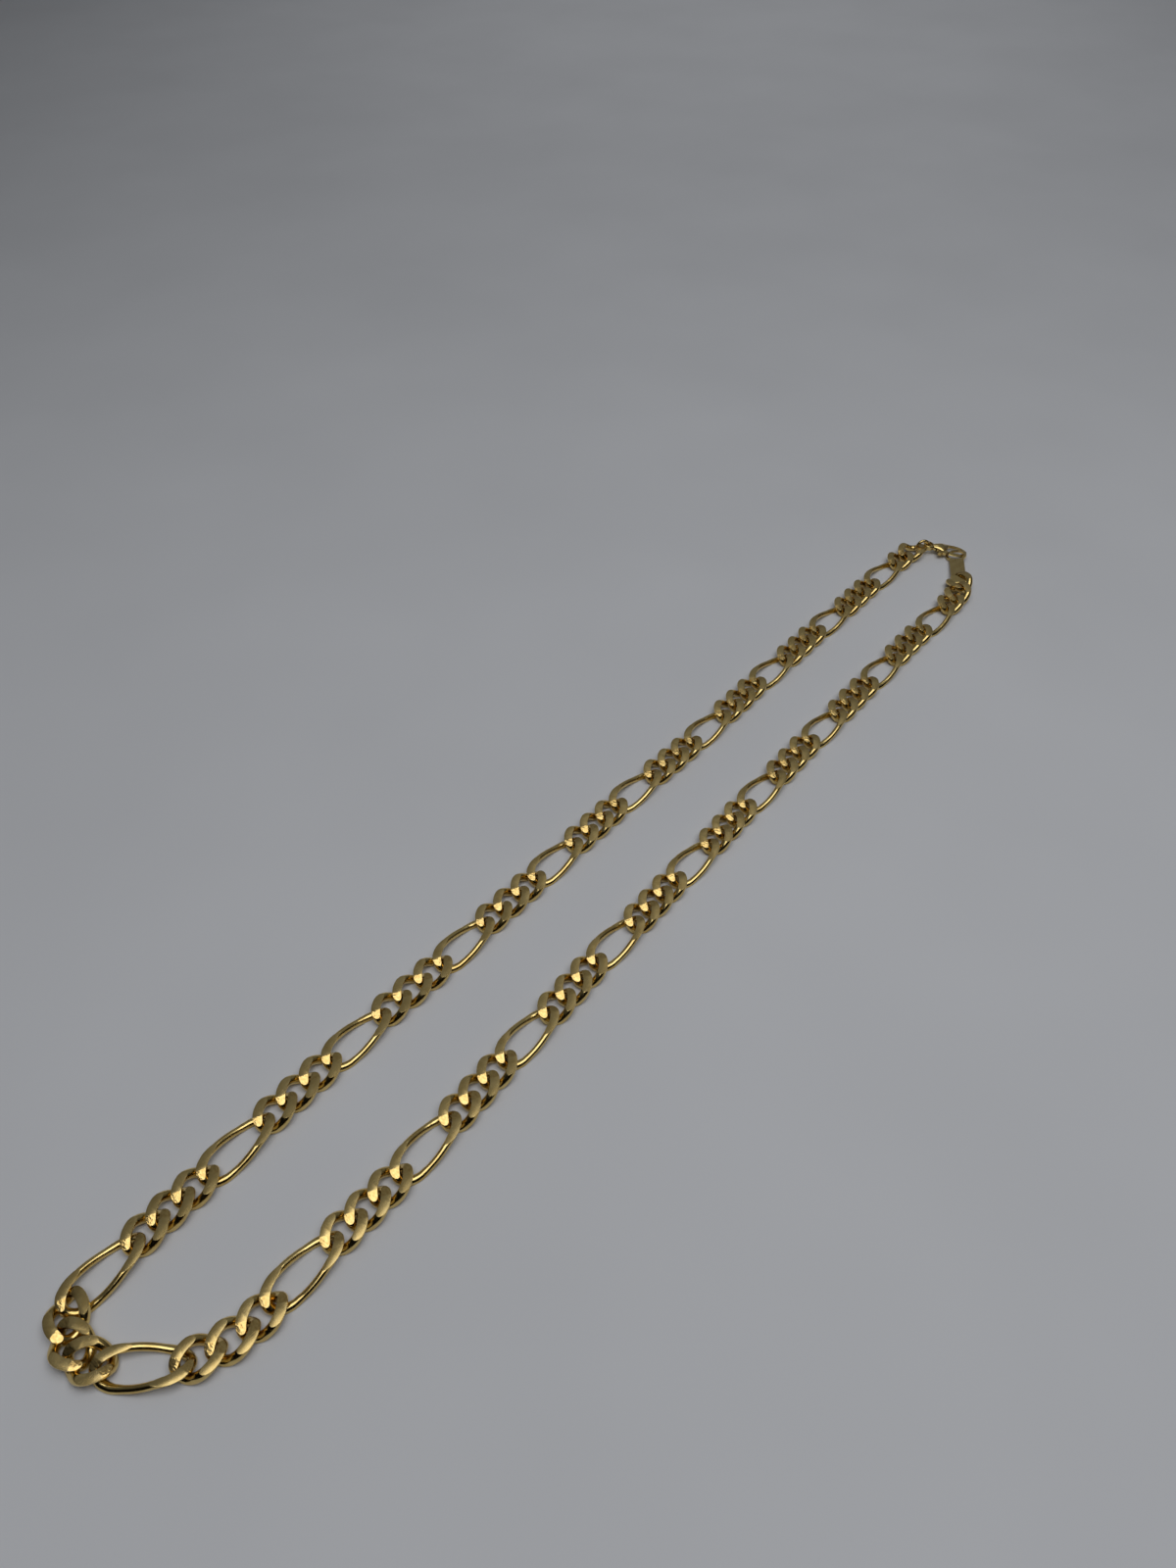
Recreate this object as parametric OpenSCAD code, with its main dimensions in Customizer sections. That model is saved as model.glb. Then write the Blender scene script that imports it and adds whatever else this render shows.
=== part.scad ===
// Figaro chain necklace, closed by a lobster clasp that is hooked into a flat end tab.
// Millimetres. The chain lies on the plane z = 0 and its two strands run along x.

/* [Links] */
// half length of a short link, from its centre to the middle of the wire
short_reach = 3.1; // [3.0:0.01:3.15]
// half width of every link before its twist, to the middle of the wire
half_width = 2.3; // [2.25:0.01:2.35]
// straight stretch added to each half of a long link
long_extra = 3.04; // [2.5:0.02:3.6]
// size of the six-sided wire over its corners
wire_size = 1.24; // [1.2:0.01:1.4]
// twist of a short link from its centre to its end
short_twist = 46; // [44:0.5:50]
// twist of a long link from its centre to its end
long_twist = 38.5; // [37:0.5:42]
// height over the two ground faces
flat_height = 2.15; // [1.9:0.05:2.2]
// distance between the joints at the two ends of a short link
joint_pitch = 4.38; // [4.30:0.01:4.45]

/* [Clasp] */
// where the middle of the clasp's tail hole lies
clasp_place = [229.7, -4.46, 1.89];
// direction of the clasp, seen from above
clasp_heading = -58.5; // [-70:0.5:-45]
// angle by which the clasp's tail is higher than its claw
clasp_pitch = 9; // [-10:0.5:15]
// roll of the clasp about its own length
clasp_roll = 0; // [-10:0.5:10]
// outer and inner radius of the ring at the clasp's tail
tail_radius = 1.35; // [1.2:0.05:1.5]
tail_hole_radius = 0.85; // [0.7:0.05:1.0]
// radius of the pin that the lever turns on
pin_radius = 0.35; // [0.3:0.05:0.5]
// free space between pin and lever
pin_play = 0.05; // [0.02:0.01:0.1]
// thickness of the lever
lever_thickness = 0.7; // [0.6:0.1:1.0]
// space on each side of the lever in its slot
lever_play = 0.1; // [0.05:0.05:0.2]

/* [End tab] */
// where the middle of the soldered link lies
tab_place = [220.89, -17, 1.69];
// direction of the tab, seen from above
tab_heading = 29; // [20:0.5:36]
// roll and pitch of the tab
tab_roll = -12.5; // [-30:0.5:30]
tab_pitch = -3.7; // [-10:0.1:10]
// distance from the soldered link's centre to the eye
tab_reach = 12.3; // [11:0.1:13]
// thickness of the tab
tab_thickness = 0.4; // [0.35:0.05:0.8]
// width of the tab's neck
tab_width = 3.3; // [3:0.1:4]
// radius of the eye and of its hole
eye_radius = 2.4; // [2.2:0.05:2.6]
eye_hole_radius = 1.85; // [1.3:0.05:1.9]

/* [Jump ring] */
// wire and centre-line radius of the ring between chain and clasp
ring_wire_radius = 0.35; // [0.3:0.05:0.5]
ring_radius = 1.5; // [1.2:0.05:1.6]
// where the ring stands and its direction
ring_place = [228.31, -3.5, 2.04];
ring_heading = -37.5; // [-60:0.5:0]
// pitch and roll of the ring
ring_pitch = 0.5; // [-10:0.5:10]
ring_roll = -1; // [-10:0.5:10]

/* [Hidden] */
$fn = 48;
// middle of the part's bounding box, which becomes x = 0 and y = 0
middle = [112.34, -10.13, 0];
link_rings = 16;
wire_sides = 6;

// Turns a point by roll about x, then pitch that lifts the x end, then heading about z.
function rolled(p, a) = [p.x, p.y * cos(a) - p.z * sin(a), p.y * sin(a) + p.z * cos(a)];
function pitched(p, a) = [p.x * cos(a) - p.z * sin(a), p.y, p.x * sin(a) + p.z * cos(a)];
function headed(p, a) = [p.x * cos(a) - p.y * sin(a), p.x * sin(a) + p.y * cos(a), p.z];
function turned(p, heading, pitch, roll) = headed(pitched(rolled(p, roll), pitch), heading);

// Ring number to its angle round the link and its shift along the straight stretch.
short_rings = [for (i = [0 : link_rings - 1]) [i * 360 / link_rings, 0]];
long_quarter = [0, 28, 58, 90];
long_rings = [
    for (a = long_quarter) [a, 1],
    [90, 0],
    for (a = [90, 122, 152]) [a, -1],
    for (a = [180, 208, 238, 270]) [a, -1],
    [270, 0],
    for (a = [270, 302, 332]) [a, 1]
];

// The oval link is twisted about its own length. Middle of the wire, and its outward side.
function wireMiddle(angle, shift, reach, twist) =
    let (x = short_reach * cos(angle) + shift)
    rolled([x, half_width * sin(angle), 0], -twist * x / reach);
function wireSide(angle, shift, reach, twist) =
    let (x = short_reach * cos(angle) + shift)
    rolled([cos(angle) / short_reach, sin(angle) / half_width, 0], -twist * x / reach);
function unit(v) = v / norm(v);

// The ground faces cut the twisted link level above and below.
function ground(p) = [p.x, p.y, max(-flat_height / 2, min(flat_height / 2, p.z))];

function linkPoints(isLong) =
    let (
        extra = isLong ? long_extra : 0,
        reach = short_reach + extra,
        twist = isLong ? long_twist : short_twist,
        rings = isLong ? long_rings : short_rings,
        last = link_rings - 1,
        middles = [for (r = rings) wireMiddle(r[0], r[1] * extra, reach, twist)]
    )
    [
        for (i = [0 : last])
            let (
                way = unit(middles[i == last ? 0 : i + 1] - middles[i == 0 ? last : i - 1]),
                side = wireSide(rings[i][0], rings[i][1] * extra, reach, twist),
                out = unit(side - (side * way) * way),
                up = cross(out, way)
            )
            for (w = [0 : wire_sides - 1])
                let (a = w * 360 / wire_sides)
                ground(middles[i] + wire_size / 2 * (cos(a) * out + sin(a) * up))
    ];

short_points = linkPoints(false);
long_points = linkPoints(true);
link_point_count = link_rings * wire_sides;

link_faces = [
    for (i = [0 : link_rings - 1])
        for (j = [0 : wire_sides - 1])
            let (
                a = i * wire_sides + j,
                b = ((i + 1) % link_rings) * wire_sides + j,
                c = ((i + 1) % link_rings) * wire_sides + (j + 1) % wire_sides,
                d = i * wire_sides + (j + 1) % wire_sides
            )
            each [[a, c, b], [a, d, c]]
];

function placedLink(isLong, place, heading, pitch, roll) = [
    for (p = isLong ? long_points : short_points) turned(p, heading, pitch, roll) + place - middle
];

// A link that rests on the floor: turned first, then lifted until its lowest point is at z = 0.
function lowest(points) = min([for (p = points) p.z]);
function restingLink(isLong, place, heading, pitch, roll) =
    let (
        local = [for (p = isLong ? long_points : short_points) turned(p, heading, pitch, roll)],
        lift = -lowest(local)
    )
    [for (p = local) p + [place.x, place.y, lift] - middle];

module links(shells) {
    polyhedron(
        points = [for (s = shells) each s],
        faces = [
            for (i = [0 : len(shells) - 1])
                for (f = link_faces)
                    f + i * link_point_count * [1, 1, 1]
        ],
        convexity = 8
    );
}

// A row of links is a list of [is it long, heading, spread, pitch, roll].
// Spread is how far the joints are pulled apart beyond their pitch.
function rowLength(row) = joint_pitch + (row[0] ? 2 * long_extra : 0) + row[2];
function along(heading) = [cos(heading), sin(heading)];
function joints(rows, start) = [
    for (i = 0, p = start; i <= len(rows);
        p = i < len(rows) ? p + rowLength(rows[i]) * along(rows[i][1]) : p, i = i + 1) p
];
function placedRow(rows, start) =
    let (j = joints(rows, start))
    [
        for (i = [0 : len(rows) - 1])
            restingLink(rows[i][0], (j[i] + j[i + 1]) / 2, rows[i][1], rows[i][3], rows[i][4])
    ];

// Small uneven turns, as in a chain laid down by hand. Only the long links lie quite flat.
function sway(i, size) = size * sin(97 * i + 31);
function repeatRows(table, seed) = [
    for (i = [0 : len(table) - 1])
        for (k = [0 : 3])
            [
                k == 0,
                table[i][0] + sway(4 * i + k + seed, 1.3),
                table[i][1],
                0,
                k == 0 ? 0 : sway(7 * i + 3 * k + seed, 1.5)
            ]
];

// Columns: heading of one long and three short links, spread at each joint.
left_table = [
    [1.0, -0.1],
    [0.5, 0.1],
    [-1.1, 0.2],
    [-0.2, 0.1],
    [-0.3, 0],
    [-2.2, -0.1],
    [0.5, 0.05],
    [-0.7, 0],
    [-0.8, 0]
];
right_table = [
    [-1.0, 0],
    [2.4, 0],
    [2.2, 0],
    [1.1, -0.15],
    [1.4, -0.12],
    [0.8, -0.08],
    [0, 0],
    [-0.3, 0.05]
];
// The last long link of the left strand. Columns: is it long, heading, spread, pitch, roll.
left_last = [[true, -2, 0, 0, 0]];

// The links next to the clasp and to the tab hang between their neighbours.
// Columns: is it long, x, y, z of its centre, heading, pitch, roll.
clasp_end = [
    [false, 220.95, -1.5, 1.15, -3, 0, -0.5],
    [false, 225.41, -2.01, 1.42, -14.5, 2.5, 1.5]
];
tab_end = [
    [true, 205.19, -18.91, 1.14, 0, 0, 0],
    [false, 212.68, -18.95, 1.32, 1.5, 0.5, -1],
    [false, 216.79, -18.64, 1.63, 14, 5, -7]
];
function hungLinks(rows) = [
    for (r = rows) placedLink(r[0], [r[1], r[2], r[3]], r[4], r[5], r[6])
];

// The near bend, where the chain turns round. Columns: is it long, x, y, heading, roll.
bend_left = [
    [false, -6.20, -1.20, 223, 2],
    [false, -8.05, -4.80, 258, 0],
    [false, -7.70, -8.35, 294, 4]
];
bend_right = [
    [true, -3.65, -14.25, 313, 0],
    [false, 1.70, -18.90, 337, 0],
    [false, 6.00, -20.50, 346, 0],
    [false, 10.40, -21.10, 357, 0]
];
function bendLinks(rows) = [
    for (r = rows) restingLink(r[0], [r[1], r[2]], r[3], 0, r[4])
];

left_start = [-joint_pitch / 2 - long_extra, 0];
right_start = [12.42, -20.75];
left_rows = concat(repeatRows(left_table, 0), left_last);
right_rows = repeatRows(right_table, 5);

module chain_left() {
    color([0.83, 0.66, 0.33])
        links(concat(bendLinks(bend_left), placedRow(left_rows, left_start), hungLinks(clasp_end)));
}

module chain_right() {
    color([0.83, 0.66, 0.33])
        links(concat(bendLinks(bend_right), placedRow(right_rows, right_start), hungLinks(tab_end)));
}

// The last short link is soldered to the tab: its hole is filled and the plate lies in it.
module inTab() {
    translate(tab_place - middle)
        rotate([0, 0, tab_heading])
            rotate([0, -tab_pitch, 0])
                rotate([tab_roll, 0, 0])
                    children();
}

module end_tab() {
    color([0.83, 0.66, 0.33])
        inTab() {
            polyhedron(points = short_points, faces = link_faces, convexity = 4);
            // filled hole of the soldered link
            translate([1.0, 0, 0])
                cube([3.4, 3.6, 0.8], center = true);
            difference() {
                union() {
                    translate([1.5, -tab_width / 2, -tab_thickness / 2])
                        cube([tab_reach - 3.2, tab_width, tab_thickness]);
                    translate([tab_reach, 0, 0])
                        cylinder(r = eye_radius, h = tab_thickness, center = true);
                }
                translate([tab_reach, 0, 0])
                    cylinder(r = eye_hole_radius, h = 3 * tab_thickness, center = true);
            }
        }
}

module jump_ring() {
    color([0.83, 0.66, 0.33])
        translate(ring_place - middle)
            rotate([0, 0, ring_heading])
                rotate([0, -ring_pitch, 0])
                    rotate([90 + ring_roll, 0, 0])
                        rotate_extrude()
                            translate([ring_radius, 0])
                                circle(r = ring_wire_radius);
}

// Columns of the clasp's outline: distance along it, half width, half thickness.
clasp_sections = [
    [0.8, 0.70, 0.55],
    [1.6, 1.05, 0.80],
    [2.4, 1.50, 0.92],
    [3.2, 1.90, 0.92],
    [4.0, 2.15, 0.64],
    [4.8, 2.25, 0.38],
    [6.6, 2.32, 0.34],
    [7.9, 2.12, 0.34],
    [8.8, 1.58, 0.34],
    [9.5, 0.60, 0.34]
];
section_points = 12;
function oval(a, power) = [
    sign(cos(a)) * pow(abs(cos(a)), power),
    sign(sin(a)) * pow(abs(sin(a)), power)
];
function claspPoint(row, a) = let (q = oval(a, 0.62)) [row[0], row[1] * q.x, row[2] * q.y];

claw_centre = [7.2, 0];
claw_hole_radius = 1.45;
lever_pivot = [2.6, -0.4];
lever_swing_radius = 2.3;
lever_slot = lever_thickness + 2 * lever_play;

module inClasp() {
    translate(clasp_place - middle)
        rotate([0, 0, clasp_heading])
            rotate([0, clasp_pitch, 0])
                rotate([clasp_roll, 0, 0])
                    children();
}

module claspShell() {
    rows = len(clasp_sections);
    sides = section_points;
    polyhedron(
        points = [
            for (row = clasp_sections)
                for (k = [0 : sides - 1])
                    claspPoint(row, k * 360 / sides)
        ],
        faces = [
            for (i = [0 : rows - 2])
                for (k = [0 : sides - 1])
                    let (
                        a = i * sides + k,
                        b = i * sides + (k + 1) % sides
                    )
                    each [[a, b + sides, b], [a, a + sides, b + sides]],
            [for (k = [0 : sides - 1]) k],
            [for (k = [sides - 1 : -1 : 0]) (rows - 1) * sides + k]
        ],
        convexity = 4
    );
}

module clasp_body() {
    color([0.83, 0.66, 0.33])
        inClasp() {
            difference() {
                union() {
                    claspShell();
                    cylinder(r = tail_radius, h = 1.1, center = true);
                }
                cylinder(r = tail_hole_radius, h = 3, center = true);
                // the claw's opening
                translate([claw_centre.x, claw_centre.y, 0])
                    cylinder(r = claw_hole_radius, h = 3, center = true);
                translate([claw_centre.x - 1.2, claw_centre.y, 0])
                    cylinder(r = claw_hole_radius, h = 3, center = true);
                // the mouth that the lever closes
                intersection() {
                    translate([lever_pivot.x, lever_pivot.y, 0])
                        cylinder(r = lever_swing_radius + 0.1, h = 3, center = true);
                    translate([3.7, -3, -1.5])
                        cube([3, 2.4, 3]);
                }
                // the slot that the lever turns in
                translate([1.7, -3, -lever_slot / 2])
                    cube([3.2, 3.4, lever_slot]);
            }
            // the lever's pin
            translate([lever_pivot.x, lever_pivot.y, 0])
                cylinder(r = pin_radius, h = 1.7, center = true);
        }
}

// The lever: an arm that closes the mouth and a thumb piece, round the pin's eye.
module leverBlank() {
    translate([lever_pivot.x, lever_pivot.y, 0])
        cylinder(r = 0.75, h = lever_thickness, center = true);
    translate([0, 0, -lever_thickness / 2])
        linear_extrude(height = lever_thickness)
            polygon([
                [2.3, -1.0], [2.3, -0.2], [3.2, -0.2], [4.0, -0.9], [5.2, -1.3], [5.2, -2.2],
                [3.3, -2.2], [2.6, -3.0], [2.1, -2.8], [2.3, -2.0]
            ]);
}

module clasp_lever() {
    color([0.83, 0.66, 0.33])
        inClasp()
            difference() {
                intersection() {
                    leverBlank();
                    translate([lever_pivot.x, lever_pivot.y, 0])
                        cylinder(r = lever_swing_radius, h = 3, center = true);
                }
                translate([lever_pivot.x, lever_pivot.y, 0])
                    cylinder(r = pin_radius + pin_play, h = 3, center = true);
            }
}

chain_left();
chain_right();
jump_ring();
clasp_body();
clasp_lever();
end_tab();
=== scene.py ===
import math

import bmesh
import bpy
import numpy as np
from mathutils import Matrix, Vector


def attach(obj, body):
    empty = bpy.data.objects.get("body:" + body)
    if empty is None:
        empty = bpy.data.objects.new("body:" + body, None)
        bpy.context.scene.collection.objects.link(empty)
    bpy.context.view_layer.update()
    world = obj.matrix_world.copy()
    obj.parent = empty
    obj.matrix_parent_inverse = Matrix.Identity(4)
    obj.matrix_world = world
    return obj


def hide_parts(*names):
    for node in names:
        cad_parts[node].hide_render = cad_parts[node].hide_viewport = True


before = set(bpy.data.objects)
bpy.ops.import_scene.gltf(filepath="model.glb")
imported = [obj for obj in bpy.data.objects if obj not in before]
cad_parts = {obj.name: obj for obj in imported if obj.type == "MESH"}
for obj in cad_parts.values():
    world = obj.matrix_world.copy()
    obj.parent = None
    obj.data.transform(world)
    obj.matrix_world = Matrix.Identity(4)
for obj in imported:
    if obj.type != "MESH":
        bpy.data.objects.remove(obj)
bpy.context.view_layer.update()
mm = 0.001
hair = 0.001  # mm, points closer than this are one point
through = 3  # mm, length of a cutter that goes right through a piece


def linearColor(hexText):
    # sRGB hex to the linear values that shader sockets take
    channels = [int(hexText[i : i + 2], 16) / 255 for i in (1, 3, 5)]
    linear = [
        c / 12.92 if c <= 0.04045 else ((c + 0.055) / 1.055) ** 2.4 for c in channels
    ]
    return (*linear, 1.0)


def deselectAll():
    if bpy.context.object and bpy.context.object.mode != "OBJECT":
        bpy.ops.object.mode_set(mode="OBJECT")
    bpy.ops.object.select_all(action="DESELECT")


def pick(*pieces):
    # selects these pieces alone, the first one active
    deselectAll()
    for piece in pieces:
        piece.hide_set(False)
        piece.select_set(True)
    bpy.context.view_layer.objects.active = pieces[0]


def editAll(piece):
    # into edit mode with the whole piece selected
    pick(piece)
    bpy.ops.object.mode_set(mode="EDIT")
    bpy.ops.mesh.select_all(action="SELECT")


def selectPoints(piece, test):
    # into edit mode with only those points selected whose place passes the test
    bpy.ops.object.mode_set(mode="EDIT")
    bpy.ops.mesh.select_mode(type="VERT")
    bpy.ops.mesh.select_all(action="DESELECT")
    bpy.ops.object.mode_set(mode="OBJECT")
    for point in piece.data.vertices:
        point.select = test(point.co)
    bpy.ops.object.mode_set(mode="EDIT")


def useModifier(piece, kind, **settings):
    pick(piece)
    modifier = piece.modifiers.new(kind.lower(), kind)
    for name, value in settings.items():
        setattr(modifier, name, value)
    bpy.ops.object.modifier_apply(modifier=modifier.name)


def tool(kind, **settings):
    # a rod or block to cut or to join with
    deselectAll()
    if kind == "rod":
        bpy.ops.mesh.primitive_cylinder_add(**settings)
    else:
        bpy.ops.mesh.primitive_cube_add(**settings)
    return bpy.context.object


def combine(piece, operation, other):
    # union, difference or intersection with another shape, which is used up
    useModifier(piece, "BOOLEAN", operation=operation, solver="EXACT", object=other)
    bpy.data.objects.remove(other)


def softenEdges(piece, width, angle=40, segments=3):
    # rounds the edges that are sharper than the angle
    useModifier(
        piece,
        "BEVEL",
        width=width,
        segments=segments,
        limit_method="ANGLE",
        angle_limit=math.radians(angle),
        harden_normals=False,
    )


def smoothBy(piece, degrees=35, plates=False):
    pick(piece)
    bpy.ops.object.shade_smooth_by_angle(angle=math.radians(degrees))
    if plates:
        # large faces set the normals, so that a plate looks flat and its edges round
        useModifier(piece, "WEIGHTED_NORMAL", keep_sharp=True)


# places as in the solid model: millimetres from the first long link, then heading,
# pitch and roll in degrees
layout = {
    "middle": (112.34, -10.13, 0),
    "clasp": ((229.7, -4.46, 1.89), -58.5, -9, 0),
    "tab": ((220.89, -17, 1.69), 29, -3.7, -12.5),
    "ring": ((228.31, -3.5, 2.04), -37.5, 0.5, -1),
}


def turn(heading, pitch, roll):
    # roll about the length first, then the pitch that lifts the x end, then the heading
    return (
        Matrix.Rotation(math.radians(heading), 4, "Z")
        @ Matrix.Rotation(math.radians(-pitch), 4, "Y")
        @ Matrix.Rotation(math.radians(roll), 4, "X")
    )


def setDown(piece, place, heading, pitch, roll):
    # from the piece's own millimetres to its place in metres, in the mesh itself
    spot = Vector(place) - Vector(layout["middle"])
    piece.data.transform(turn(heading, pitch, roll))
    piece.data.transform(Matrix.Translation(spot))
    piece.data.transform(Matrix.Scale(mm, 4))
    piece.data.update()


# materials


def addNode(tree, kind, settings=None, links=None):
    node = tree.nodes.new(kind)
    for name, value in (settings or {}).items():
        if name in node.inputs:
            node.inputs[name].default_value = value
        else:
            setattr(node, name, value)
    for name, source in (links or {}).items():
        tree.links.new(source, node.inputs[name])
    return node


def newMaterial(name):
    material = bpy.data.materials.new(name)
    material.use_nodes = True
    tree = material.node_tree
    tree.nodes.clear()
    return material, tree


def scaledCoordinates(tree, spacing, stretch=(1, 1, 1)):
    # Object coordinates are metres; one unit of the pattern is the spacing in millimetres
    place = addNode(tree, "ShaderNodeTexCoord")
    factor = 1 / (spacing * mm)
    return addNode(
        tree,
        "ShaderNodeMapping",
        {"Scale": tuple(factor * s for s in stretch)},
        {"Vector": place.outputs["Object"]},
    ).outputs["Vector"]


goldLook = {
    # polished wire and castings; spacings and depths in mm
    "deep": "#CFAE68",  # gold where it is a little tarnished
    "clean": "#E5CA84",  # freshly polished gold
    "tarnishSpacing": 2.5,
    "polishedRoughness": (0.12, 0.24),
    "markSpacing": 0.35,
    "markDepth": 0.02,
    # ground flats
    "flatDeep": "#C6AA6B",
    "flatClean": "#D8BE80",
    "wearSpacing": 1.6,
    "groundRoughness": (0.216, 0.276),
    "scratchSpacing": 0.12,  # real ones are finer and would not show
    "scratchDepth": 0.012,
    "scratchStretch": (0.08, 1, 1),  # they run along the chain
    # cut corners
    "cutDeep": "#C8A664",
    "cutClean": "#DEC07C",
    "cutRoughness": 0.17,
    "rippleSpacing": 0.32,
    "rippleDepth": 0.08,
    "rippleStretch": (1, 0.55, 1),
}


def polishedGold():
    # drawn or cast 14 carat gold, tumbled: a clean mirror with faint handling marks
    material, tree = newMaterial("polishedGold")
    broad = addNode(
        tree,
        "ShaderNodeTexNoise",
        {"Scale": 1.0, "Detail": 3.0, "Roughness": 0.6},
        {"Vector": scaledCoordinates(tree, goldLook["tarnishSpacing"])},
    )
    marks = addNode(
        tree,
        "ShaderNodeTexNoise",
        {"Scale": 1.0, "Detail": 4.0, "Roughness": 0.65},
        {"Vector": scaledCoordinates(tree, goldLook["markSpacing"])},
    )
    tint = addNode(tree, "ShaderNodeValToRGB", links={"Fac": broad.outputs["Fac"]})
    tint.color_ramp.elements[0].position = 0.3
    tint.color_ramp.elements[0].color = linearColor(goldLook["deep"])
    tint.color_ramp.elements[1].position = 0.62
    tint.color_ramp.elements[1].color = linearColor(goldLook["clean"])
    gloss = addNode(
        tree,
        "ShaderNodeMapRange",
        {
            "From Min": 0.3,
            "From Max": 0.75,
            "To Min": goldLook["polishedRoughness"][0],
            "To Max": goldLook["polishedRoughness"][1],
        },
        {"Value": marks.outputs["Fac"]},
    )
    bump = addNode(
        tree,
        "ShaderNodeBump",
        {"Strength": 0.18, "Distance": goldLook["markDepth"] * mm},
        {"Height": marks.outputs["Fac"]},
    )
    shader = addNode(
        tree,
        "ShaderNodeBsdfPrincipled",
        {"Metallic": 1.0},
        {
            "Base Color": tint.outputs["Color"],
            "Roughness": gloss.outputs["Result"],
            "Normal": bump.outputs["Normal"],
        },
    )
    addNode(tree, "ShaderNodeOutputMaterial", links={"Surface": shader.outputs["BSDF"]})
    return material


def groundGold():
    # ground and brushed flats: duller than the polish, with fine scratches
    material, tree = newMaterial("groundGold")
    along = scaledCoordinates(tree, goldLook["scratchSpacing"], goldLook["scratchStretch"])
    scratches = addNode(
        tree,
        "ShaderNodeTexNoise",
        {"Scale": 1.0, "Detail": 3.0, "Roughness": 0.7},
        {"Vector": along},
    )
    wear = addNode(
        tree,
        "ShaderNodeTexNoise",
        {"Scale": 1.0, "Detail": 4.0, "Roughness": 0.6},
        {"Vector": scaledCoordinates(tree, goldLook["wearSpacing"])},
    )
    tint = addNode(tree, "ShaderNodeValToRGB", links={"Fac": wear.outputs["Fac"]})
    tint.color_ramp.elements[0].position = 0.32
    tint.color_ramp.elements[0].color = linearColor(goldLook["flatDeep"])
    tint.color_ramp.elements[1].position = 0.66
    tint.color_ramp.elements[1].color = linearColor(goldLook["flatClean"])
    gloss = addNode(
        tree,
        "ShaderNodeMapRange",
        {
            "From Min": 0.3,
            "From Max": 0.7,
            "To Min": goldLook["groundRoughness"][0],
            "To Max": goldLook["groundRoughness"][1],
        },
        {"Value": scratches.outputs["Fac"]},
    )
    bump = addNode(
        tree,
        "ShaderNodeBump",
        {"Strength": 0.16, "Distance": goldLook["scratchDepth"] * mm},
        {"Height": scratches.outputs["Fac"]},
    )
    shader = addNode(
        tree,
        "ShaderNodeBsdfPrincipled",
        {"Metallic": 1.0},
        {
            "Base Color": tint.outputs["Color"],
            "Roughness": gloss.outputs["Result"],
            "Normal": bump.outputs["Normal"],
        },
    )
    addNode(tree, "ShaderNodeOutputMaterial", links={"Surface": shader.outputs["BSDF"]})
    return material


def cutGold():
    # corners cut with a diamond tool: bright, with the ripples that the tool leaves
    material, tree = newMaterial("cutGold")
    across = scaledCoordinates(tree, goldLook["rippleSpacing"], goldLook["rippleStretch"])
    ripples = addNode(
        tree,
        "ShaderNodeTexNoise",
        {"Scale": 1.0, "Detail": 1.5, "Roughness": 0.5},
        {"Vector": across},
    )
    tint = addNode(tree, "ShaderNodeValToRGB", links={"Fac": ripples.outputs["Fac"]})
    tint.color_ramp.elements[0].position = 0.35
    tint.color_ramp.elements[0].color = linearColor(goldLook["cutDeep"])
    tint.color_ramp.elements[1].position = 0.65
    tint.color_ramp.elements[1].color = linearColor(goldLook["cutClean"])
    bump = addNode(
        tree,
        "ShaderNodeBump",
        {"Strength": 0.6, "Distance": goldLook["rippleDepth"] * mm},
        {"Height": ripples.outputs["Fac"]},
    )
    shader = addNode(
        tree,
        "ShaderNodeBsdfPrincipled",
        {"Metallic": 1.0, "Roughness": goldLook["cutRoughness"]},
        {"Base Color": tint.outputs["Color"], "Normal": bump.outputs["Normal"]},
    )
    addNode(tree, "ShaderNodeOutputMaterial", links={"Surface": shader.outputs["BSDF"]})
    return material


polished = polishedGold()
ground = groundGold()
cut = cutGold()
print("gold made")


# links

link = {
    "reach": 3.1,  # half length of a short link, to the middle of the wire
    "halfWidth": 2.3,  # to the middle of the wire
    "wire": 1.5,
    "longExtra": 3.04,  # by which each half of a long link is longer
    "longOver": 10,  # a link longer than this is a long one
    "shortTwist": 46,  # degrees from the middle of a link to its end
    "longTwist": 38.5,
    "bends": 52,  # points round the oval
    "sideCuts": 7,  # further points on each straight side
    "roundness": 7,  # steps in the round of the wire
    # moves the middle of each side by this much: points within this of the link's
    # middle and beyond this from its centre line, fading out over this length
    "bulge": {"by": 0.22, "within": 0.8, "beyond": 2.2, "fade": 4.2},
    "lift": {"by": 0.3, "within": 0.4, "beyond": 2.0, "fade": 1.7},
    "slimSide": 0.74,  # wire of a long link's sides, as a share of the rest
    "slimFrom": 1.9,  # past the end of the straight side, where it starts to slim
    "slimStep": 0.3,  # length of each step
    "slimSteps": 10,
    "flatTop": 0.98,  # ground level this far above the middle of the link
    "flatBottom": 1.05,
    "turnDown": 13,  # degrees, the facet that ends the upper flat
    "facetStart": (2.6, 0.98),  # on its upper edge, past the straight side and aside
    "facetHeading": 240,  # degrees
    "facetBlock": (4.2, 3.2, 2),  # block that planes it, and how the block is moved
    "facetShift": (0.9, 0, 1),
    "groundArea": 0.5,  # mm2, the wire's own faces are all smaller than this
    "level": 0.995,  # least upright part of a level face's normal
    "edgeSoftness": 0.14,  # of the edges that the grinding leaves
    "softenOver": 28,  # degrees, edges of the round wire itself are under this
    "smoothUnder": 62,  # degrees
}


def pushSide(wire, side, push, direction):
    selectPoints(
        wire, lambda p: p.y * side > push["beyond"] and abs(p.x) < push["within"]
    )
    bpy.ops.transform.translate(
        value=tuple(push["by"] * d for d in direction),
        use_proportional_edit=True,
        proportional_edit_falloff="SMOOTH",
        proportional_size=push["fade"],
    )
    bpy.ops.object.mode_set(mode="OBJECT")


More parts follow.
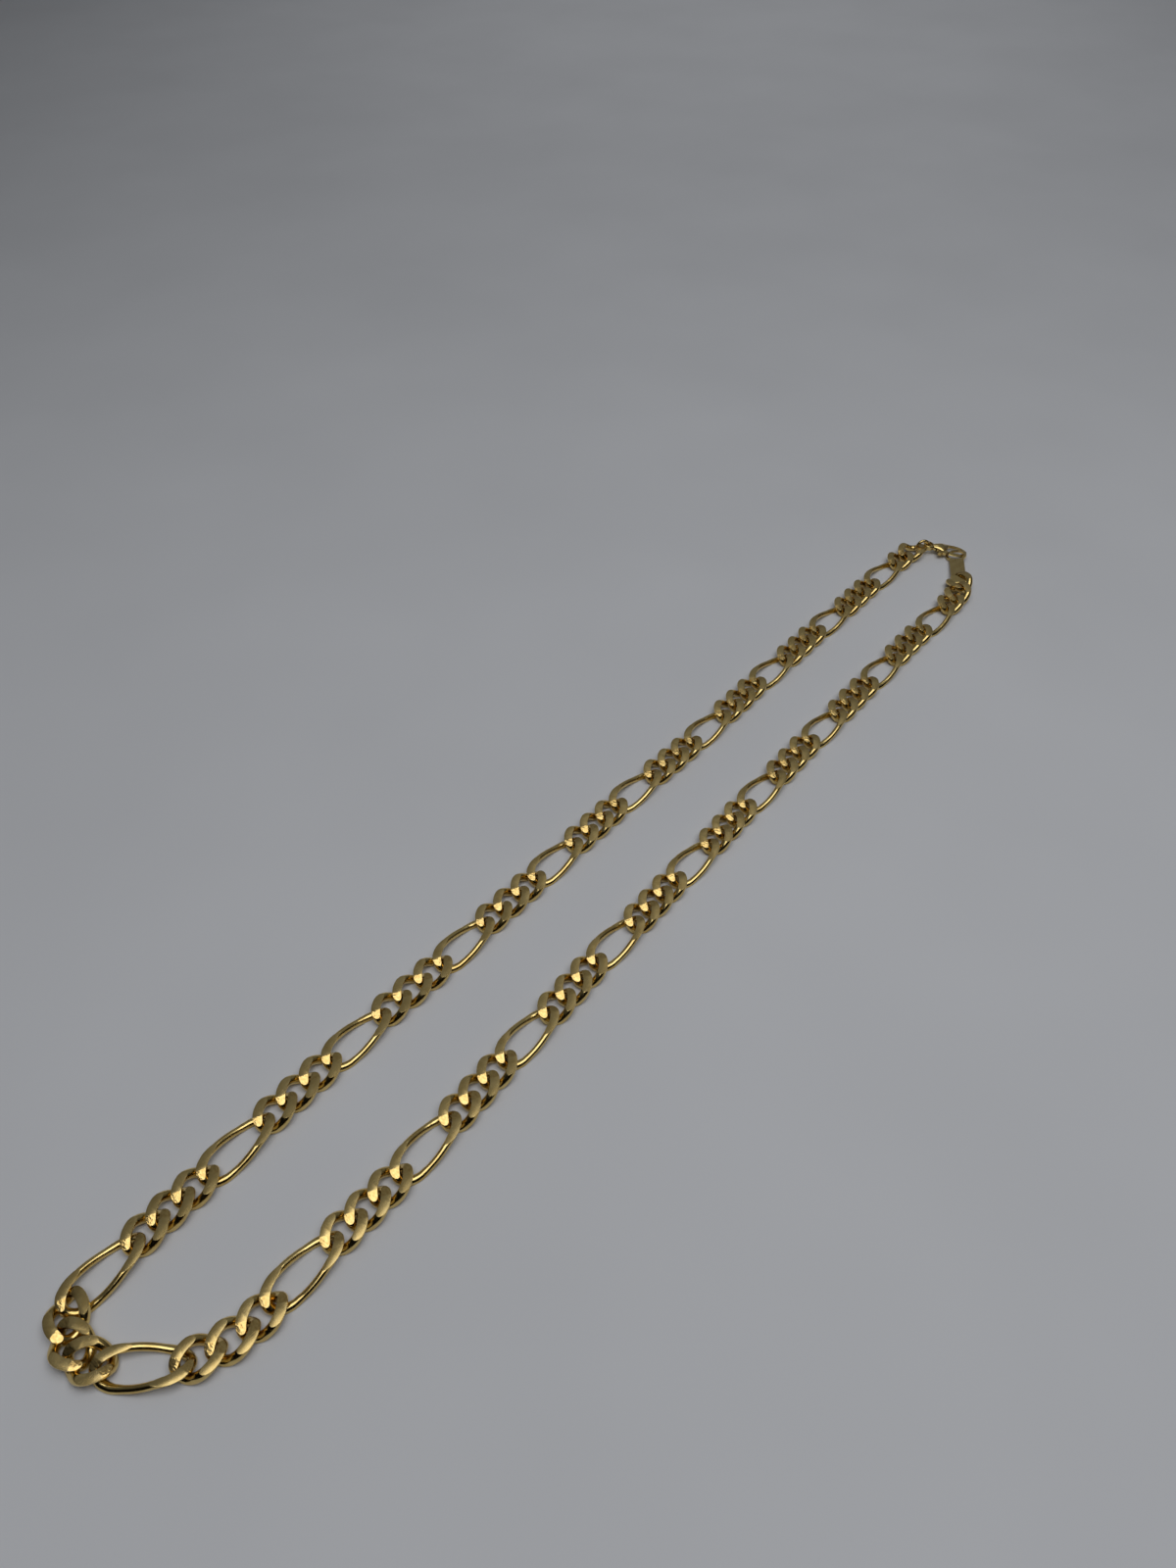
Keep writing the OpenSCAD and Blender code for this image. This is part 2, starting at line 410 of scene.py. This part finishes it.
def drawApart(wire, extra):
    # parts the two halves of the oval and bows out the straight sides between them
    for side in (1, -1):
        selectPoints(wire, lambda p: p.x * side > hair)
        bpy.ops.transform.translate(value=(side * extra, 0, 0))
    bpy.ops.mesh.select_mode(type="EDGE")
    bpy.ops.mesh.select_all(action="DESELECT")
    bpy.ops.object.mode_set(mode="OBJECT")
    for edge in wire.data.edges:
        ends = [wire.data.vertices[k].co for k in edge.vertices]
        edge.select = (ends[0] - ends[1]).length > extra
    bpy.ops.object.mode_set(mode="EDIT")
    bpy.ops.mesh.subdivide(number_cuts=link["sideCuts"])
    for side in (1, -1):
        pushSide(wire, side, link["bulge"], (0, side, 0))


def slimSides(wire, extra):
    # in short steps, the wire gets thinner from a long link's ends to its sides
    for step in range(link["slimSteps"]):
        start = extra + link["slimFrom"] - link["slimStep"] * step
        for point in wire.data.splines[0].points:
            point.select = abs(point.co.x) < start
        slimmer = (1 - link["slimSide"]) * (step + 1) / link["slimSteps"]
        bpy.ops.object.mode_set(mode="EDIT")
        bpy.ops.curve.radius_set(radius=1 - slimmer)
        bpy.ops.object.mode_set(mode="OBJECT")


def bentWire(name, extra, twist):
    # an oval of points, twisted about its length, then made wire
    deselectAll()
    bpy.ops.mesh.primitive_circle_add(vertices=link["bends"], radius=link["halfWidth"])
    wire = bpy.context.object
    editAll(wire)
    bpy.ops.transform.resize(value=(link["reach"] / link["halfWidth"], 1, 1))
    if extra:
        drawApart(wire, extra)
    useModifier(
        wire,
        "SIMPLE_DEFORM",
        deform_method="TWIST",
        deform_axis="X",
        angle=math.radians(-2 * twist),
    )
    if not extra:
        for side in (1, -1):
            pushSide(wire, side, link["lift"], (0, 0, 1))
    bpy.ops.object.convert(target="CURVE")
    wire = bpy.context.object
    if extra:
        slimSides(wire, extra)
    wire.data.bevel_depth = link["wire"] / 2
    wire.data.bevel_resolution = link["roundness"]
    bpy.ops.object.convert(target="MESH")
    wire = bpy.context.object
    wire.name = name
    editAll(wire)
    bpy.ops.mesh.remove_doubles(threshold=hair)
    bpy.ops.mesh.normals_make_consistent(inside=False)
    bpy.ops.object.mode_set(mode="OBJECT")
    return wire


def cutFacet(wire, extra, side):
    # the tilted facet where the wire turns down at one end
    planer = tool("block", size=1)
    past, aside = link["facetStart"]
    planer.data.transform(
        Matrix.Rotation(math.radians(90 - 90 * side), 4, "Z")
        @ Matrix.Translation((-extra - past, aside, link["flatTop"]))
        @ Matrix.Rotation(math.radians(link["facetHeading"]), 4, "Z")
        @ Matrix.Rotation(math.radians(link["turnDown"]), 4, "Y")
        @ Matrix.Translation(link["facetShift"])
        @ Matrix.Diagonal((*link["facetBlock"], 1))
    )
    combine(wire, "DIFFERENCE", planer)


def groundLink(name, extra, twist):
    wire = bentWire(name, extra, twist)
    for side in (1, -1):
        cutFacet(wire, extra, side)
    # ground level above and below
    for height, side in ((link["flatTop"], 1), (-link["flatBottom"], -1)):
        editAll(wire)
        bpy.ops.mesh.bisect(
            plane_co=(0, 0, height),
            plane_no=(0, 0, side),
            use_fill=True,
            clear_outer=True,
        )
        bpy.ops.object.mode_set(mode="OBJECT")
    for finish in (polished, ground, cut):
        wire.data.materials.append(finish)
    for face in wire.data.polygons:
        if face.area > link["groundArea"]:
            face.material_index = 1 if abs(face.normal.z) > link["level"] else 2
    softenEdges(wire, link["edgeSoftness"], angle=link["softenOver"])
    # slivers that the planing and the rounding leave
    editAll(wire)
    bpy.ops.mesh.remove_doubles(threshold=2 * hair)
    bpy.ops.mesh.dissolve_degenerate(threshold=hair)
    bpy.ops.object.mode_set(mode="OBJECT")
    smoothBy(wire, link["smoothUnder"])
    return wire


shortLink = groundLink("shortLink", 0, link["shortTwist"])
longLink = groundLink("longLink", link["longExtra"], link["longTwist"])
print("links made:", len(shortLink.data.polygons), len(longLink.data.polygons))

samePoint = 0.0000001  # m, corners of the solid model's loose triangles


def linkPlaces(nodeName):
    # reads from the solid model where each loose link lies and how it is turned
    pick(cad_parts[nodeName])
    bpy.ops.object.duplicate()
    editAll(bpy.context.object)
    bpy.ops.mesh.remove_doubles(threshold=samePoint)
    bpy.ops.mesh.separate(type="LOOSE")
    bpy.ops.object.mode_set(mode="OBJECT")
    places = []
    for part in list(bpy.context.selected_objects):
        points = np.array([p.co[:] for p in part.data.vertices])
        centre = points.mean(axis=0)
        # a link is longest along its x, narrower along its y and thinnest along its z
        axes = np.linalg.eigh((points - centre).T @ (points - centre))[1]
        length, width, height = axes[:, 2], axes[:, 1], axes[:, 0]
        if height[2] < 0:
            height = -height
        if np.dot(np.cross(length, width), height) < 0:
            width = -width
        alongLink = (points - centre) @ length
        isLong = alongLink.max() - alongLink.min() > link["longOver"] * mm
        places.append((isLong, centre, np.array((length, width, height)).T))
        bpy.data.objects.remove(part)
    return places


def strand(name, nodeName):
    copies = []
    for isLong, centre, axes in linkPlaces(nodeName):
        source = longLink if isLong else shortLink
        copy = source.copy()
        copy.data = source.data.copy()
        bpy.context.scene.collection.objects.link(copy)
        turned = Matrix(axes.tolist()).to_4x4()
        copy.data.transform(Matrix.Translation(centre) @ turned @ Matrix.Scale(mm, 4))
        copies.append(copy)
    pick(*copies)
    bpy.ops.object.join()
    piece = bpy.context.object
    piece.name = name
    piece.data.name = name
    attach(piece, "necklace")
    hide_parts(nodeName)
    print(name, "has", len(copies), "links")


strand("leftStrand", "chain_left")
strand("rightStrand", "chain_right")


# jump ring

ring = {"radius": 1.5, "wire": 0.35, "gap": 0.06, "softness": 0.02}


def jumpRing():
    deselectAll()
    bpy.ops.mesh.primitive_torus_add(
        major_radius=ring["radius"],
        minor_radius=ring["wire"],
        major_segments=64,
        minor_segments=20,
        rotation=(math.radians(90), 0, 0),
    )
    piece = bpy.context.object
    bpy.ops.object.transform_apply(location=False, rotation=True, scale=False)
    # the saw cut where the ring was closed
    saw = tool("block", size=1, location=(0, 0, ring["radius"]))
    bpy.ops.transform.resize(value=(ring["gap"], 2, 2))
    combine(piece, "DIFFERENCE", saw)
    softenEdges(piece, ring["softness"], angle=50, segments=2)
    piece.data.materials.append(polished)
    smoothBy(piece, 40)
    piece.name = "jumpRing"
    setDown(piece, *layout["ring"])
    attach(piece, "necklace")
    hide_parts("jump_ring")
    print("jump ring made")


jumpRing()


# end tab with its soldered link

tab = {
    "reach": 12.3,  # from the middle of the link to the middle of the eye
    "thickness": 0.4,
    "width": 3.3,
    "eye": 2.4,  # outer radius of the eye
    "hole": 1.85,
    "neckStart": 1.5,
    "neckLength": 9.1,
    "softness": 0.09,
    "level": 0.99,  # least upright part of a level face's normal
    "solderAt": 1.0,
    "solder": (3.4, 3.6, 0.8),
    "solderSoftness": 0.2,
}


def endTab():
    deselectAll()
    # the plate starts as a disc for the eye, and its neck is drawn back to the link
    eye = (tab["reach"], 0, 0)
    bpy.ops.mesh.primitive_cylinder_add(
        vertices=96, radius=tab["eye"], depth=tab["thickness"], location=eye
    )
    piece = bpy.context.object
    bpy.ops.object.transform_apply(location=True)
    neck = tool("block", size=1)
    editAll(neck)
    bpy.ops.transform.resize(value=(tab["neckLength"], tab["width"], tab["thickness"]))
    bpy.ops.transform.translate(value=(tab["neckStart"] + tab["neckLength"] / 2, 0, 0))
    bpy.ops.object.mode_set(mode="OBJECT")
    combine(piece, "UNION", neck)
    hole = tool("rod", vertices=80, radius=tab["hole"], depth=through, location=eye)
    combine(piece, "DIFFERENCE", hole)
    softenEdges(piece, tab["softness"])
    piece.data.materials.append(polished)
    piece.data.materials.append(ground)
    for face in piece.data.polygons:
        face.material_index = 1 if abs(face.normal.z) > tab["level"] else 0
    # solder that fills the last link
    middle = (tab["solderAt"], 0, 0)
    solder = tool("block", size=1, location=middle)
    editAll(solder)
    bpy.ops.transform.resize(value=tab["solder"], center_override=middle)
    bpy.ops.object.mode_set(mode="OBJECT")
    bpy.ops.object.transform_apply(location=True)
    softenEdges(solder, tab["solderSoftness"])
    solder.data.materials.append(polished)
    last = shortLink.copy()
    last.data = shortLink.data.copy()
    bpy.context.scene.collection.objects.link(last)
    smoothBy(piece, plates=True)
    smoothBy(solder, plates=True)
    pick(piece, solder, last)
    bpy.ops.object.join()
    piece = bpy.context.object
    piece.name = "endTab"
    setDown(piece, *layout["tab"])
    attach(piece, "necklace")
    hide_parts("end_tab")
    print("end tab made")


endTab()


# lobster clasp

clasp = {
    # distance along the clasp, half width, half thickness
    "sections": [
        (0.8, 0.62, 0.50),
        (1.2, 0.85, 0.68),
        (1.8, 1.15, 0.84),
        (2.5, 1.55, 0.91),
        (3.2, 1.88, 0.90),
        (3.8, 2.08, 0.72),
        (4.4, 2.19, 0.50),
        (5.0, 2.26, 0.38),
        (5.8, 2.29, 0.35),
        (6.6, 2.31, 0.34),
        (7.3, 2.22, 0.34),
        (7.9, 2.08, 0.34),
        (8.5, 1.72, 0.34),
        (9.0, 1.30, 0.33),
        (9.35, 0.80, 0.32),
    ],
    "tailRadius": 1.35,
    "tailThickness": 1.1,
    "tailSoftness": 0.22,
    "tailHole": 0.85,
    "clawHole": 1.45,
    "clawCentres": (7.2, 6.6, 6.0),  # the claw's opening is three holes in a row
    "pivot": (2.6, -0.4),
    "swing": 2.3,  # radius that the lever's tip sweeps
    "play": 0.1,  # between that and the mouth
    # lowest and highest corners of the mouth and of the lever's slot
    "mouth": ((3.7, -3, -1.5), (6.7, -0.6, 1.5)),
    "slot": ((1.7, -3, -0.45), (4.9, 0.4, 0.45)),
    "softness": 0.1,
    "pinRadius": 0.35,
    "pinLength": 1.86,
    "pinSoftness": 0.06,
}


def blockBetween(low, high):
    block = tool("block", size=1)
    block.data.transform(
        Matrix.Translation([(a + b) / 2 for a, b in zip(low, high)])
        @ Matrix.Diagonal([b - a for a, b in zip(low, high)] + [1])
    )
    return block


def rodAt(x, y, **settings):
    rod = tool("rod", **settings)
    rod.data.transform(Matrix.Translation((x, y, 0)))
    return rod


def claspBody():
    # one ring of points is drawn along the clasp and resized at each station
    deselectAll()
    bpy.ops.mesh.primitive_circle_add(
        vertices=40, radius=1, fill_type="NGON", rotation=(0, math.radians(90), 0)
    )
    piece = bpy.context.object
    bpy.ops.object.transform_apply(rotation=True)
    editAll(piece)
    start, halfWidth, halfThickness = clasp["sections"][0]
    bpy.ops.transform.translate(value=(start, 0, 0))
    bpy.ops.transform.resize(
        value=(1, halfWidth, halfThickness), center_override=(start, 0, 0)
    )
    for before, after in zip(clasp["sections"], clasp["sections"][1:]):
        bpy.ops.mesh.extrude_region_move(
            TRANSFORM_OT_translate={"value": (after[0] - before[0], 0, 0)}
        )
        bpy.ops.transform.resize(
            value=(1, after[1] / before[1], after[2] / before[2]),
            center_override=(after[0], 0, 0),
        )
    bpy.ops.mesh.select_all(action="SELECT")
    bpy.ops.mesh.normals_make_consistent(inside=False)
    bpy.ops.object.mode_set(mode="OBJECT")
    tail = tool(
        "rod", vertices=64, radius=clasp["tailRadius"], depth=clasp["tailThickness"]
    )
    softenEdges(tail, clasp["tailSoftness"], segments=4)
    combine(piece, "UNION", tail)
    tailHole = tool("rod", vertices=48, radius=clasp["tailHole"], depth=through)
    combine(piece, "DIFFERENCE", tailHole)
    for centre in clasp["clawCentres"]:
        hole = rodAt(centre, 0, vertices=64, radius=clasp["clawHole"], depth=through)
        combine(piece, "DIFFERENCE", hole)
    # the mouth that the lever closes, round where the lever's tip sweeps past
    sweep = clasp["swing"] + clasp["play"]
    mouth = rodAt(*clasp["pivot"], vertices=64, radius=sweep, depth=through)
    combine(mouth, "INTERSECT", blockBetween(*clasp["mouth"]))
    combine(piece, "DIFFERENCE", mouth)
    combine(piece, "DIFFERENCE", blockBetween(*clasp["slot"]))
    softenEdges(piece, clasp["softness"], angle=38)
    pin = rodAt(
        *clasp["pivot"], vertices=32, radius=clasp["pinRadius"], depth=clasp["pinLength"]
    )
    softenEdges(pin, clasp["pinSoftness"], segments=2)
    smoothBy(piece)
    smoothBy(pin)
    pick(piece, pin)
    bpy.ops.object.join()
    piece = bpy.context.object
    piece.data.materials.clear()
    piece.data.materials.append(polished)
    piece.name = "claspBody"
    setDown(piece, *layout["clasp"])
    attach(piece, "necklace")
    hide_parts("clasp_body")
    print("clasp body made")


claspBody()

lever = {
    "outline": [
        (2.3, -1.0),
        (2.3, -0.2),
        (3.2, -0.2),
        (4.0, -0.9),
        (5.2, -1.3),
        (5.2, -2.2),
        (3.3, -2.2),
        (2.6, -3.0),
        (2.1, -2.8),
        (2.3, -2.0),
    ],
    "thickness": 0.7,
    "eye": 0.75,  # outer radius of the eye on the pin
    "bore": 0.4,
    "softness": 0.12,
}


def claspLever():
    deselectAll()
    bpy.ops.mesh.primitive_plane_add(size=1)
    piece = bpy.context.object
    below = -lever["thickness"] / 2
    outline = bmesh.new()
    outline.faces.new([outline.verts.new((x, y, below)) for x, y in lever["outline"]])
    outline.to_mesh(piece.data)
    outline.free()
    editAll(piece)
    bpy.ops.mesh.extrude_region_move(
        TRANSFORM_OT_translate={"value": (0, 0, lever["thickness"])}
    )
    bpy.ops.mesh.select_all(action="SELECT")
    bpy.ops.mesh.normals_make_consistent(inside=False)
    bpy.ops.object.mode_set(mode="OBJECT")
    pivot = clasp["pivot"]
    eye = rodAt(*pivot, vertices=48, radius=lever["eye"], depth=lever["thickness"])
    combine(piece, "UNION", eye)
    swing = rodAt(*pivot, vertices=128, radius=clasp["swing"], depth=through)
    combine(piece, "INTERSECT", swing)
    bore = rodAt(*pivot, vertices=48, radius=lever["bore"], depth=through)
    combine(piece, "DIFFERENCE", bore)
    softenEdges(piece, lever["softness"], angle=30)
    piece.data.materials.append(polished)
    smoothBy(piece, plates=True)
    piece.name = "claspLever"
    setDown(piece, *layout["clasp"])
    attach(piece, "lever")
    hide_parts("clasp_lever")
    print("clasp lever made")


claspLever()

for master in (shortLink, longLink):
    bpy.data.objects.remove(master)


# floor, light and camera

board = {
    "size": 6,  # m, its edges are far outside the photograph's view
    "shade": "#DDDEE0",
    "light": "#E3E4E6",
    "cloudSpacing": 60,  # mm
}


def mattBoard():
    # matt painted board: pale grey, with a very slight unevenness
    material, tree = newMaterial("mattBoard")
    cloud = addNode(
        tree,
        "ShaderNodeTexNoise",
        {"Scale": 1.0, "Detail": 2.0, "Roughness": 0.5},
        {"Vector": scaledCoordinates(tree, board["cloudSpacing"])},
    )
    tint = addNode(tree, "ShaderNodeValToRGB", links={"Fac": cloud.outputs["Fac"]})
    tint.color_ramp.elements[0].position = 0.25
    tint.color_ramp.elements[0].color = linearColor(board["shade"])
    tint.color_ramp.elements[1].position = 0.75
    tint.color_ramp.elements[1].color = linearColor(board["light"])
    shader = addNode(
        tree,
        "ShaderNodeBsdfPrincipled",
        {"Roughness": 0.8},
        {"Base Color": tint.outputs["Color"]},
    )
    addNode(tree, "ShaderNodeOutputMaterial", links={"Surface": shader.outputs["BSDF"]})
    return material


deselectAll()
bpy.ops.mesh.primitive_plane_add(size=board["size"], location=(0, 0, 0))
floor = bpy.context.object
floor.name = "floor"
floor.data.materials.append(mattBoard())
print("floor made")

studio = {
    "overhead": {
        "place": (-0.03, -0.11, 0.52),  # m
        "target": (-0.02, -0.09, 0),
        "size": (0.54, 0.42),
        "watts": 1.3,
        "spread": 180,
    },
    "farFloor": {
        "place": (0.62, 0.38, 0.6),
        "target": (0.62, 0.38, 0),
        "size": (0.6, 0.6),
        "watts": 0.3,
        "spread": 90,
    },
}
lampColor = "#FBFCFF"


def studioLight(name, values):
    deselectAll()
    bpy.ops.object.light_add(type="AREA", location=values["place"])
    lamp = bpy.context.object
    lamp.name = name
    lamp.data.shape = "RECTANGLE"
    lamp.data.size, lamp.data.size_y = values["size"]
    lamp.data.energy = values["watts"]
    lamp.data.spread = math.radians(values["spread"])
    lamp.data.color = linearColor(lampColor)[:3]
    aim = Vector(values["target"]) - Vector(values["place"])
    lamp.rotation_euler = aim.to_track_quat("-Z", "Y").to_euler()


for name, values in studio.items():
    studioLight(name, values)

air = {
    "towards": (0.5, 0.41, 0.763),  # the palest part of the room: up and to the far side
    "dark": "#0B0B0C",  # low down and on the near side
    "darkUntil": 0.3,  # cosines from that direction
    "pale": "#8E9195",
    "paleFrom": 0.95,
    "strength": 0.6,
}
world = bpy.data.worlds.new("studioAir")
bpy.context.scene.world = world
world.use_nodes = True
sky = world.node_tree
sky.nodes.clear()
direction = addNode(sky, "ShaderNodeTexCoord")
lean = addNode(
    sky,
    "ShaderNodeVectorMath",
    {"operation": "DOT_PRODUCT"},
    {0: direction.outputs["Generated"]},
)
lean.inputs[1].default_value = air["towards"]
shade = addNode(sky, "ShaderNodeValToRGB", links={"Fac": lean.outputs["Value"]})
shade.color_ramp.elements[0].position = air["darkUntil"]
shade.color_ramp.elements[0].color = linearColor(air["dark"])
shade.color_ramp.elements[1].position = air["paleFrom"]
shade.color_ramp.elements[1].color = linearColor(air["pale"])
glow = addNode(
    sky,
    "ShaderNodeBackground",
    {"Strength": air["strength"]},
    {"Color": shade.outputs["Color"]},
)
addNode(sky, "ShaderNodeOutputWorld", links={"Surface": glow.outputs["Background"]})

viewpoint = {
    "place": (-0.11644, -0.07912, 0.1581),
    "down": 45.62,  # degrees below the horizon
    "heading": 39.5,  # direction of view seen from above
    "lens": 25.875,
    "sensor": 36,
    "nearest": 0.005,  # m
}
deselectAll()
bpy.ops.object.camera_add(
    location=viewpoint["place"],
    rotation=(
        math.radians(90 - viewpoint["down"]),
        0,
        math.radians(viewpoint["heading"] - 90),
    ),
)
camera = bpy.context.object
camera.name = "photoView"
camera.data.lens = viewpoint["lens"]
camera.data.sensor_width = viewpoint["sensor"]
camera.data.sensor_fit = "AUTO"
camera.data.clip_start = viewpoint["nearest"]
bpy.context.scene.camera = camera
bpy.context.scene.view_settings.view_transform = "Standard"
print("light and camera made")
